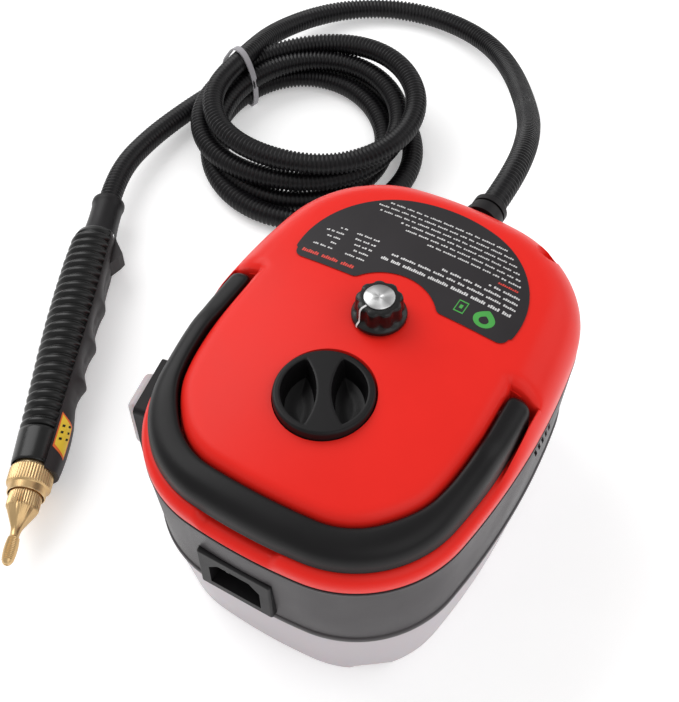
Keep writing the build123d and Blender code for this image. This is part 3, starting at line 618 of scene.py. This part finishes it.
def handle():
    """The folded carry handle: one band round the front, whose two arms end in rounds."""
    arm_end = 9.8
    ys = [arm_end - d for d in (0, 0.15, 0.5, 1.0, 1.7, 2.6, 3.8, 5.2, 7.0)]
    path = [p for p in outline_points(extra_y=ys) if p[1] <= arm_end + 1e-6]
    start = next(i for i in range(len(path)) if path[i][0] < 0 and path[i - 1][0] > 0 and path[i][1] > 0)
    path = path[start:] + path[:start]
    low = 95.15
    verts, sides = [], 0
    for x, y, nx, ny in path:
        inner, outer = 13.1 + channel_shift(y), 3.4 + 0.6 * arm_shift(y)
        middle = (inner + outer) / 2
        end = arm_end - y
        width = sqrt(max(0.0, 1 - (1 - end / 5.5) ** 2)) if end < 5.5 else 1.0
        width = max(width, 0.04)
        tx, ty = x - nx * (inner - 1.0), y - ny * (inner - 1.0)
        top = dome_z(tx, ty) - 0.5
        top = lerp(top, min(top, 110.0), smooth_step((y + 26) / 12))
        if y > PIVOT_Y:
            top = min(top, PIVOT_Z + sqrt(ARM_SWING_R**2 - (y - PIVOT_Y) ** 2))
        shape = [(inner, low + 0.4), (inner, lerp(low, top, 0.5)), (inner, top - 1.7),
                 (inner - 0.25, top - 0.75), (inner - 0.9, top - 0.18), (inner - 1.8, top)]
        drop = top - low
        bulge = lerp(0.62, 0.40, smooth_step((y + 50) / 50))
        for i in range(1, 17):
            a = i / 16 * pi / 2
            reach = inner - 1.8 - outer - 0.15
            shape.append((inner - 1.8 - reach * sin(a) ** 0.92, low + 1.6 + (drop - 1.6) * cos(a) ** bulge))
        shape += [(outer, low + 1.1), (outer + 0.3, low + 0.35), (outer + 0.9, low), (middle, low),
                  (inner - 0.4, low)]
        sides = len(shape)
        for inset, z in shape:
            i = middle + (inset - middle) * width
            verts.append((x - nx * i, y - ny * i, z))
    faces = grid_faces(len(path), sides, flip=True)
    faces.append(tuple(range(sides)))
    faces.append(tuple(reversed(range((len(path) - 1) * sides, len(path) * sides))))
    piece = make_object("handle_band", verts, faces, CHARCOAL, "handle")
    tidy_normals(piece)
    sharpen(piece, 50)
    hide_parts("carry_handle")


# ---------------------------------------------------------------- label
LABEL_LIFT = 0.45
LABEL_FRONT, LABEL_HALF = 23.0, 49.5
BAY_R, KNOB_Y = 23.0, 10.0
LABEL_SIDE = ((49.5, 23.0), (44.5, 56.0), (20.5, 75.0))
LABEL_BACK = ((20.5, 75.0), (0.0, 78.0), (-20.5, 75.0))
DROP_X, DROP_Y = 36.8, 30.2
BOX_X, BOX_Y = 26.0, 31.0


def arc_through(first, middle, last, count):
    """Points along the circle's arc from the first to the last of three points."""
    (ax, ay), (bx, by), (cx, cy) = first, middle, last
    d = 2 * (ax * (by - cy) + bx * (cy - ay) + cx * (ay - by))
    ux = ((ax**2 + ay**2) * (by - cy) + (bx**2 + by**2) * (cy - ay) + (cx**2 + cy**2) * (ay - by)) / d
    uy = ((ax**2 + ay**2) * (cx - bx) + (bx**2 + by**2) * (ax - cx) + (cx**2 + cy**2) * (bx - ax)) / d
    radius = sqrt((ax - ux) ** 2 + (ay - uy) ** 2)
    start, end = atan2(ay - uy, ax - ux), atan2(cy - uy, cx - ux)
    return [(ux + radius * cos(lerp(start, end, i / count)), uy + radius * sin(lerp(start, end, i / count)))
            for i in range(count + 1)]


def label_half_width(y):
    """Half the label's width at a distance along the body."""
    side = arc_through(*LABEL_SIDE, 60) + arc_through(*LABEL_BACK, 60)
    return min((abs(py - y), px) for px, py in side if px >= 0)[1]


def patch(name, x0, x1, y0, y1, mat, lift):
    """A thin printed rectangle that follows the dome."""
    steps = max(1, round((x1 - x0) / 3.0))
    verts = [(lerp(x0, x1, i / steps), y, dome_z(lerp(x0, x1, i / steps), y) + lift)
             for y in (y0, y1) for i in range(steps + 1)]
    piece = make_object(name, verts, grid_faces(2, steps + 1, close_columns=False), mat)
    return piece


def words(name, x0, x1, y, height, mat, longest, gap, seed):
    """A row of small blocks of uneven length, standing for a line of small print."""
    verts, faces = [], []
    x, i = x1, seed
    while x - 1.0 > x0:
        length = max(1.1, longest * (0.35 + 0.65 * ((i * 37 + 11) % 17) / 16))
        left = max(x0, x - length)
        parts = max(1, round((x - left) / 0.95))
        for k in range(parts):
            a, b = lerp(left, x, (k + 0.12) / parts), lerp(left, x, (k + 0.88) / parts)
            tall = height * 0.8 * (0.72 + 0.28 * ((k * 5 + i) % 3) / 2)
            base = len(verts)
            for px, py in ((a, y), (b, y), (b, y + tall), (a, y + tall)):
                verts.append((px, py, dome_z(px, py) + LABEL_LIFT + 0.06))
            faces.append((base, base + 1, base + 2, base + 3))
        x = left - gap
        i += 1
    make_object(name, verts, faces, mat)


def outline_patch(name, corners, mat, lift):
    verts = [(x, y, dome_z(x, y) + lift) for x, y in corners]
    make_object(name, verts, [tuple(range(len(verts)))], mat)


def label_skin():
    """The dark label: a bay round the knob in front, rounded corners, and the body's own curve behind."""
    upper = arc_through(*LABEL_SIDE, 40)[3:] + arc_through(*LABEL_BACK, 24)[1:-1]
    upper += [(-x, y) for x, y in reversed(arc_through(*LABEL_SIDE, 40)[3:])]
    corner, turn_in = 4.0, 3.0
    right = LABEL_HALF - 0.2
    front = []
    for i in range(9):
        a = pi + i / 8 * pi / 2
        front.append((-right + corner + corner * cos(a), LABEL_FRONT + corner + corner * sin(a)))
    centre_y = LABEL_FRONT + turn_in
    bay_x = sqrt((BAY_R + turn_in) ** 2 - (centre_y - KNOB_Y) ** 2)
    meet = atan2(centre_y - KNOB_Y, bay_x)
    for i in range(8):
        a = lerp(-pi / 2, -meet, i / 7)
        front.append((-bay_x + turn_in * cos(a), centre_y + turn_in * sin(a)))
    for i in range(1, 32):
        a = lerp(pi - meet, meet, i / 32)
        front.append((BAY_R * cos(a), KNOB_Y + BAY_R * sin(a)))
    front += [(-x, y) for x, y in reversed(front[:17])]
    loop = upper + front
    work = bmesh.new()
    for x, y in loop:
        work.verts.new((x, y, 0))
    work.faces.new(work.verts)
    for spacing, axis in ((4.0, 0), (4.0, 1)):
        at = -72.0
        while at < 90:
            normal = (1, 0, 0) if axis == 0 else (0, 1, 0)
            spot = (at, 0, 0) if axis == 0 else (0, at, 0)
            bmesh.ops.bisect_plane(work, geom=list(work.verts) + list(work.edges) + list(work.faces),
                                   plane_co=spot, plane_no=normal)
            at += spacing
    work.verts.ensure_lookup_table()
    work.verts.index_update()
    verts = [(v.co.x, v.co.y, dome_z(v.co.x, v.co.y) + LABEL_LIFT) for v in work.verts]
    faces = [tuple(v.index for v in f.verts) for f in work.faces]
    work.free()
    skin = make_object("label_skin", verts, faces, LABEL)
    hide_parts("label_plate")


def label_marks():
    """Rows of plain blocks where such a label has its text, a steam drop and a plain box for its marks."""
    words("label_heading", -47, -22, 26.2, 2.3, PRINT_RED, 13, 1.6, 3)
    for row in range(5):
        y = 32.0 + 3.2 * row
        words(f"label_item_{row}", -31 + (row * 3) % 4, -20.0, y, 1.2, WHITE, 5, 0.8, row)
        words(f"label_value_{row}", -45 + (row * 5) % 7, -35.5, y, 1.2, WHITE, 4, 0.8, row + 4)
    words("label_title", -15, 45, 37.0, 2.1, WHITE, 11, 1.3, 2)
    for row, left in enumerate((-12, 10, 30)):
        words(f"label_text_{row}", left, 45.5 - row * 0.6, 40.8 + 3.2 * row, 1.5, WHITE, 8, 1.1, row + 5)
    words("label_note", 32, 42, 50.4, 1.4, PRINT_RED, 10, 1.0, 1)
    for row, left in enumerate((-2, -14, -18, -30, -34, -36)):
        y = 53.4 + 3.1 * row
        half = label_half_width(y) - 4.0
        words(f"label_line_{row}", max(left, -half), half, y, 1.15, WHITE, 6, 0.9, row + 7)
    drop = []
    for i in range(40):
        a = 2 * pi * i / 40
        pinch = 1 - 0.62 * max(0.0, cos(a)) ** 2.2
        taller = 1.2 if cos(a) > 0 else 1.0
        drop.append((DROP_X + 4.6 * sin(a) * pinch, DROP_Y + 4.2 * cos(a) * taller))
    middle = [(DROP_X + (x - DROP_X) * 0.45, 29.8 + (y - DROP_Y) * 0.45) for x, y in drop]
    outline_patch("label_drop", drop, PRINT_GREEN, LABEL_LIFT + 0.06)
    outline_patch("label_drop_middle", middle, LABEL, LABEL_LIFT + 0.10)
    for name, half, mat, lift in (
        ("label_box", 2.9, PRINT_GREEN, 0.06),
        ("label_box_middle", 2.35, LABEL, 0.10),
        ("label_box_dot", 0.9, PRINT_GREEN, 0.14),
    ):
        wide, deep = half * 0.75, half * 1.1
        patch(name, BOX_X - wide, BOX_X + wide, BOX_Y - deep, BOX_Y + deep, mat, LABEL_LIFT + lift)


# ---------------------------------------------------------------- filler cap
CAP_Y, CAP_TOP, CAP_R = -32.5, 117.9, 20.1
POCKET_RIM, POCKET_OFFSET, POCKET_R, POCKET_DEPTH = 16.9, 31.9, 29.0, 11.8
CAP_BAR = radians(-60.0)


def cap_z(across, along):
    """Height of the cap's top: a rounded rim, and two deep finger pockets beside the grip bar."""
    radius = sqrt(across**2 + along**2)
    z = CAP_TOP - 0.35 * (radius / CAP_R) ** 2 - rounded(CAP_R - radius, 1.3)
    to_arc = POCKET_R - sqrt((POCKET_OFFSET - abs(across)) ** 2 + along**2)
    inside = min(POCKET_RIM - radius, to_arc)
    lip = 0.9
    if inside > -lip:
        z -= 0.45 * smooth_step((inside + lip) / (2 * lip))
    if inside > 0:
        z -= (POCKET_DEPTH - 0.5) * min(1.0, inside / 1.1) ** 0.8 * (0.86 + 0.14 * smooth_step(inside / 6))
    return z


def filler_cap():
    sides, rings = 300, 96
    verts = [(0, CAP_Y, cap_z(0, 0))]
    reaches = [CAP_R * (k / rings) ** 0.9 for k in range(1, rings + 1)]
    for reach in reaches:
        for i in range(sides):
            turn = 2 * pi * i / sides
            x, y = reach * cos(turn), reach * sin(turn)
            along, across = x * cos(CAP_BAR) + y * sin(CAP_BAR), y * cos(CAP_BAR) - x * sin(CAP_BAR)
            verts.append((x, CAP_Y + y, cap_z(across, along)))
    skirt = ((20.1, 112.0), (20.0, 105.4), (19.3, 104.75), (12.2, 104.7), (12.2, 94.6), (11.6, 94.0),
             (0.01, 94.0))
    for radius, z in skirt:
        for i in range(sides):
            turn = 2 * pi * i / sides
            verts.append((radius * cos(turn), CAP_Y + radius * sin(turn), z))
    faces = [(0, 1 + i, 1 + (i + 1) % sides) for i in range(sides)]
    shifted = [tuple(k + 1 for k in face) for face in grid_faces(rings + len(skirt), sides, flip=True)]
    cap = make_object("cap_moulded", verts, faces + shifted, CHARCOAL, "cap")
    tidy_normals(cap)
    sharpen(cap, 55)
    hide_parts("filler_cap")


# ---------------------------------------------------------------- steam knob
def knob():
    lobes = 9
    profile = [(0, 118.6), (11.1, 118.6), (11.35, 119.0), (11.3, 120.2), (10.9, 120.9), (10.2, 121.3),
               (9.95, 121.9), (9.75, 124.5), (9.6, 127.6), (9.3, 128.6), (8.6, 129.1), (7.4, 129.2),
               (6.5, 129.2), (6.4, 128.9), (0, 128.9)]

    def ripple(row, turn):
        if not 5 <= row <= 11:
            return 1.0
        depth = 0.10 if 6 <= row <= 9 else 0.06
        return 1 - depth * (0.5 - 0.5 * cos(lobes * turn)) ** 1.6

    grip = lathe("knob_grip", profile, (0, KNOB_Y, 0), 180, GLOSS_BLACK, "knob", ripple)
    sharpen(grip, 45)
    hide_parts("steam_knob")
    disc_profile = [(0, 128.9), (6.25, 128.9), (6.35, 129.6), (6.1, 129.95), (0.6, 129.9), (0, 129.7)]
    disc = lathe("knob_spun_disc", disc_profile, (0, KNOB_Y, 0), 96, SPUN, "knob")
    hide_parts("knob_disc")
    aim = radians(-112)
    ahead, aside = Vector((cos(aim), sin(aim), 0)), Vector((-sin(aim), cos(aim), 0))
    line = [(6.5, 129.28), (8.7, 129.2), (9.5, 128.5), (9.85, 127.4), (9.95, 124.5), (10.1, 121.9),
            (10.6, 121.45), (11.15, 120.95), (11.5, 120.2), (11.5, 119.2)]
    verts = []
    for reach, z in line:
        for s in (-0.42, 0.42):
            spot = ahead * (reach + 0.06) + aside * s
            verts.append((spot.x, spot.y + KNOB_Y, z + 0.05))
    strip = make_object("knob_pointer", verts, grid_faces(len(line), 2, close_columns=False), WHITE, "knob")


# ---------------------------------------------------------------- gun
# radii along the grip, as (distance, radius): its round back, then its finger side with the scallops
GRIP_PROFILE = ((28.0, 11.6), (34.0, 13.4), (50.0, 14.1), (70.0, 14.3), (90.0, 14.1), (110.0, 13.4),
                (140.0, 11.9), (173.0, 10.6))
FINGER_SIDE = ((28.0, 9.9), (34.0, 10.6), (50.0, 10.9), (57.0, 10.3), (64.0, 10.9), (70.0, 12.2),
               (73.7, 13.2), (76.5, 12.2), (80.5, 10.9), (86.0, 10.4), (92.0, 11.4), (96.5, 12.9),
               (99.1, 13.8), (101.5, 12.9), (105.5, 11.5), (111.0, 10.8), (117.0, 11.8), (121.0, 13.2),
               (123.3, 14.1), (126.0, 12.8), (130.0, 11.6), (135.5, 11.4), (141.0, 12.2), (148.0, 13.3),
               (156.0, 13.7), (164.0, 13.6), (171.0, 13.1), (177.6, 12.2))
SPLIT_V, SEAT_V = 6.8, 5.0
UPPER_SPLIT = radians(46.0)     # where the ribbed back meets the smooth front, above the middle
RIB_COUNT, RIB_START, RIB_PITCH = 24, 32.0, 5.1


def along_table(table, at):
    """Value between the points of a table of (distance, value)."""
    for (u0, r0), (u1, r1) in zip(table, table[1:]):
        if at <= u1:
            return lerp(r0, r1, max(0.0, (at - u0) / (u1 - u0)))
    return table[-1][1]


def gun_point(u, v, w):
    """A point of the gun from its own distances: along it, towards its finger side, and up."""
    ahead_x, ahead_y = cos(GUN_TURN), sin(GUN_TURN)
    return (GUN.x + u * ahead_x - v * ahead_y, GUN.y + u * ahead_y + v * ahead_x, GUN.z + w)


def gun_back():
    """The glossy ribbed back of the grip."""
    steps = [28.0, 28.4, 29.2, 30.4, 31.4]
    end = RIB_START + RIB_PITCH * RIB_COUNT
    count = RIB_COUNT * 10
    steps += [lerp(RIB_START, end, i / count) for i in range(count)]
    steps += [end + d for d in (0, 0.6, 2, 6, 10, 14, 17.2, 18.2, 18.6)]
    sides = 56
    verts = []
    for u in steps:
        base = along_table(GRIP_PROFILE, u) + 0.05
        if u <= 28.4:
            base -= 0.6 * (28.4 - u)
        if u > 172.5:
            base -= 0.8 * (u - 172.5)
        phase = (u - RIB_START) / RIB_PITCH
        dip = 0.0
        if 0 <= phase <= RIB_COUNT:
            dip = 1.0 - abs(sin(pi * phase)) ** 0.7
        lower_split = atan2(sqrt(max(1.0, base**2 - (SPLIT_V + 0.1) ** 2)), SPLIT_V + 0.1)
        for s in range(sides):
            turn = lerp(UPPER_SPLIT, 2 * pi - lower_split, s / (sides - 1))
            radius = base - 2.2 * dip
            verts.append(gun_point(u, radius * cos(turn), radius * sin(turn)))
    faces = grid_faces(len(steps), sides, close_columns=False, flip=True)
    piece = make_object("gun_ribbed_back", verts, faces, GLOSS_BLACK)
    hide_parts("gun_grip_back")


def front_point(u, t, lift=0.0):
    """A point of the smooth front: t runs from the lower split, round the fingers, to the upper split."""
    base = along_table(GRIP_PROFILE, u) + 0.2
    if u < 29.5:
        base -= (29.5 - u) * 0.5
    lower = -atan2(sqrt(max(1.0, base**2 - SPLIT_V**2)), SPLIT_V)
    turn = lerp(lower, UPPER_SPLIT, t)
    reach = along_table(FINGER_SIDE, u) + 0.1
    blend = smooth_step((turn - lower) / 0.75) * smooth_step((UPPER_SPLIT - turn) / 0.62)
    radius = lerp(base, reach, blend) + lift
    return gun_point(u, radius * cos(turn), radius * sin(turn))


def gun_front():
    """The matte front of the grip, with its finger scallops and the trigger's slot."""
    steps = [28.0 + 0.75 * i for i in range(198)]
    sides = 43
    verts = []
    for u in steps:
        verts.append(front_point(u, 0.0, -2.6))
        verts += [front_point(u, s / (sides - 3)) for s in range(sides - 2)]
        verts.append(front_point(u, 1.0, -2.6))
    faces = []
    for face in grid_faces(len(steps), sides, close_columns=False):
        row, column = face[0] // sides, face[0] % sides
        in_slot = 29.0 < steps[row] < 48.5 and abs(column + 0.5 - (sides - 1) / 2) < 7
        if not in_slot:
            faces.append(face)
    faces.append(tuple(range(sides)))
    faces.append(tuple(reversed(range((len(steps) - 1) * sides, len(steps) * sides))))
    piece = make_object("gun_smooth_front", verts, faces, GUN_FRONT)
    sharpen(piece, 60)
    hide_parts("gun_grip_front")
    seat = [gun_point(u, v, w) for u, v, w in (
        (27.9, SEAT_V, -5.6), (50, SEAT_V, -5.6), (50, SEAT_V, 5.6), (27.9, SEAT_V, 5.6))]
    make_object("trigger_seat", seat, [(0, 1, 2, 3)], BLACK)

    for name, mat, grow, lift in (("sticker_edge", ORANGE, 0.0, 0.12), ("sticker_face", YELLOW, 1.3, 0.22)):
        u0, u1, t0, t1 = 146.5 + grow, 165.5 - grow, 0.62 + grow * 0.022, 0.955 - grow * 0.022
        rows, columns = 16, 8
        verts = []
        for r in range(rows):
            for c in range(columns):
                k = c / (columns - 1)
                slide = lerp(2.8, -1.6, k)
                verts.append(front_point(lerp(u0, u1, r / (rows - 1)) + slide, lerp(t0, t1, k), lift))
        film = make_object(name, verts, grid_faces(rows, columns, close_columns=False), mat)
        if mat == ORANGE:
            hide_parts("gun_sticker")
    slanted_bar = ((0, 0.69), (1.3, 0.69), (2.7, 0.88), (1.4, 0.88))
    for i in range(3):
        spots = [front_point(150.0 + 3.6 * i + du, t, 0.5) for du, t in slanted_bar]
        make_object(f"sticker_mark_{i}", spots, [(0, 1, 2, 3)], BLACK)


def gun_boot():
    """The soft boot over the hose: a flared ring, a narrow neck, then a taper out to the grip."""
    profile = [(0.1, 5.0), (0.1, 6.8), (0.5, 8.1), (1.3, 8.8), (3.2, 8.9), (4.2, 8.7), (5.0, 8.35),
               (8.0, 8.25), (15.0, 8.3), (20.0, 8.5), (24.0, 8.8), (27.2, 9.3), (28.0, 9.4), (28.1, 5.0)]
    boot = gun_turned("boot_moulded", profile, 64, BLACK)
    sharpen(boot, 60)
    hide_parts("gun_boot")


def gun_turned(name, profile, sides, mat, body="body", ripple=None):
    """A solid turned about the gun's axis from (distance, radius) points."""
    verts = []
    for r, (u, radius) in enumerate(profile):
        for s in range(sides):
            turn = 2 * pi * s / sides
            scale = ripple(r, turn) if ripple else 1.0
            verts.append(gun_point(u, radius * scale * cos(turn), radius * scale * sin(turn)))
    piece = make_object(name, verts, grid_faces(len(profile), sides, flip=True), mat, body)
    tidy_normals(piece, weld=True)
    return piece


def nozzle():
    """The knurled collar and the fluted, tapered nozzle with its fine thread."""
    def knurl(count, depth, first, last):
        return lambda row, turn: 1 - depth * (0.5 - 0.5 * cos(count * turn)) if first <= row <= last else 1.0

    collar_profile = [(174.2, 8.9), (174.3, 9.6), (174.9, 10.2), (175.6, 10.4), (182.4, 10.4), (183.1, 9.9),
                      (183.5, 9.2), (184.0, 9.0), (187.0, 8.9), (187.4, 8.7), (187.45, 8.4), (186.6, 8.2),
                      (185.4, 8.1)]
    collar = gun_turned("collar_knurled", collar_profile, 240, BRASS, "collar", knurl(48, 0.055, 3, 4))
    sharpen(collar, 45)
    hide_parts("nozzle_collar")
    tip_profile = [(185.0, 7.4), (185.2, 7.6), (186.0, 7.7), (194.0, 7.6), (194.6, 7.3), (195.2, 7.2),
                   (200.6, 4.5), (204.2, 2.75), (206.0, 2.3), (207.4, 2.15), (208.6, 2.2)]
    for i in range(29):
        u = 209.0 + i * 0.42
        swell = 2.45 + 0.55 * sin(pi * min(1.0, (u - 208.4) / 13.0))
        tip_profile.append((u, swell + (0.14 if i % 2 else -0.14)))
    tip_profile += [(221.3, 2.25), (222.0, 1.8), (222.5, 1.2), (222.6, 0.95), (222.3, 0.7), (218.0, 0.6)]

    def facets(row, turn):
        if 2 <= row <= 4:
            return 1 - 0.06 * (0.5 - 0.5 * cos(40 * turn))
        if 5 <= row <= 7:
            return 1 - 0.08 * abs(cos(3 * turn)) ** 1.5
        return 1.0

    tip = gun_turned("nozzle_fluted", tip_profile, 216, BRASS, "nozzle_body", facets)
    sharpen(tip, 50)
    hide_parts("nozzle")


# ---------------------------------------------------------------- cable tie
def cable_tie():
    """A flat grey strap drawn round the bundle."""
    turn = radians(TIE_ANGLE)
    middle = Vector((COIL_CENTRE[0] + 64.5 * cos(turn), COIL_CENTRE[1] + 64.5 * sin(turn), 0))
    out = Vector((cos(turn), sin(turn), 0))
    along = Vector((-sin(turn), cos(turn), 0))
    loop = [(-11.2, 2.0), (-12.9, 6.0), (-13.3, 13.0), (-12.9, 21.0), (-10.4, 28.6), (-6.4, 34.6),
            (-1.5, 36.4), (3.2, 34.2), (7.4, 28.6), (11.6, 22.0), (13.6, 15.0), (13.9, 8.0),
            (12.2, 2.6), (9.0, 0.5), (0.0, 0.3), (-8.5, 0.5)]
    smooth = []
    count = len(loop)
    for i in range(count):
        a, b, c, d = (loop[(i + k) % count] for k in (-1, 0, 1, 2))
        for j in range(4):
            t = j / 4
            smooth.append(tuple(
                0.5 * (2 * b[n] + (c[n] - a[n]) * t + (2 * a[n] - 5 * b[n] + 4 * c[n] - d[n]) * t**2
                       + (3 * b[n] - a[n] - 3 * c[n] + d[n]) * t**3) for n in (0, 1)))
    verts = []
    for reach, z in smooth:
        for side, push in ((-1.75, 0), (1.75, 0), (1.75, 1.05), (-1.75, 1.05)):
            scale = 1 + push / 16
            spot = middle + out * reach * scale + along * side
            verts.append((spot.x, spot.y, max(0.15, 18.0 + (z - 18.0) * scale)))
    columns = 4
    rows = len(smooth)
    faces = []
    for r in range(rows):
        nxt = (r + 1) % rows
        for c in range(columns):
            d = (c + 1) % columns
            faces.append((r * columns + c, r * columns + d, nxt * columns + d, nxt * columns + c))
    strap = make_object("tie_strap", verts, faces, TIE)
    tidy_normals(strap)
    sharpen(strap, 40)
    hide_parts("cable_tie")


paint_cad_nodes()
stage()
hose()
cable_tie()
cover()
housing_beads()
handle()
label_skin()
label_marks()
filler_cap()
knob()
gun_back()
gun_front()
gun_boot()
nozzle()
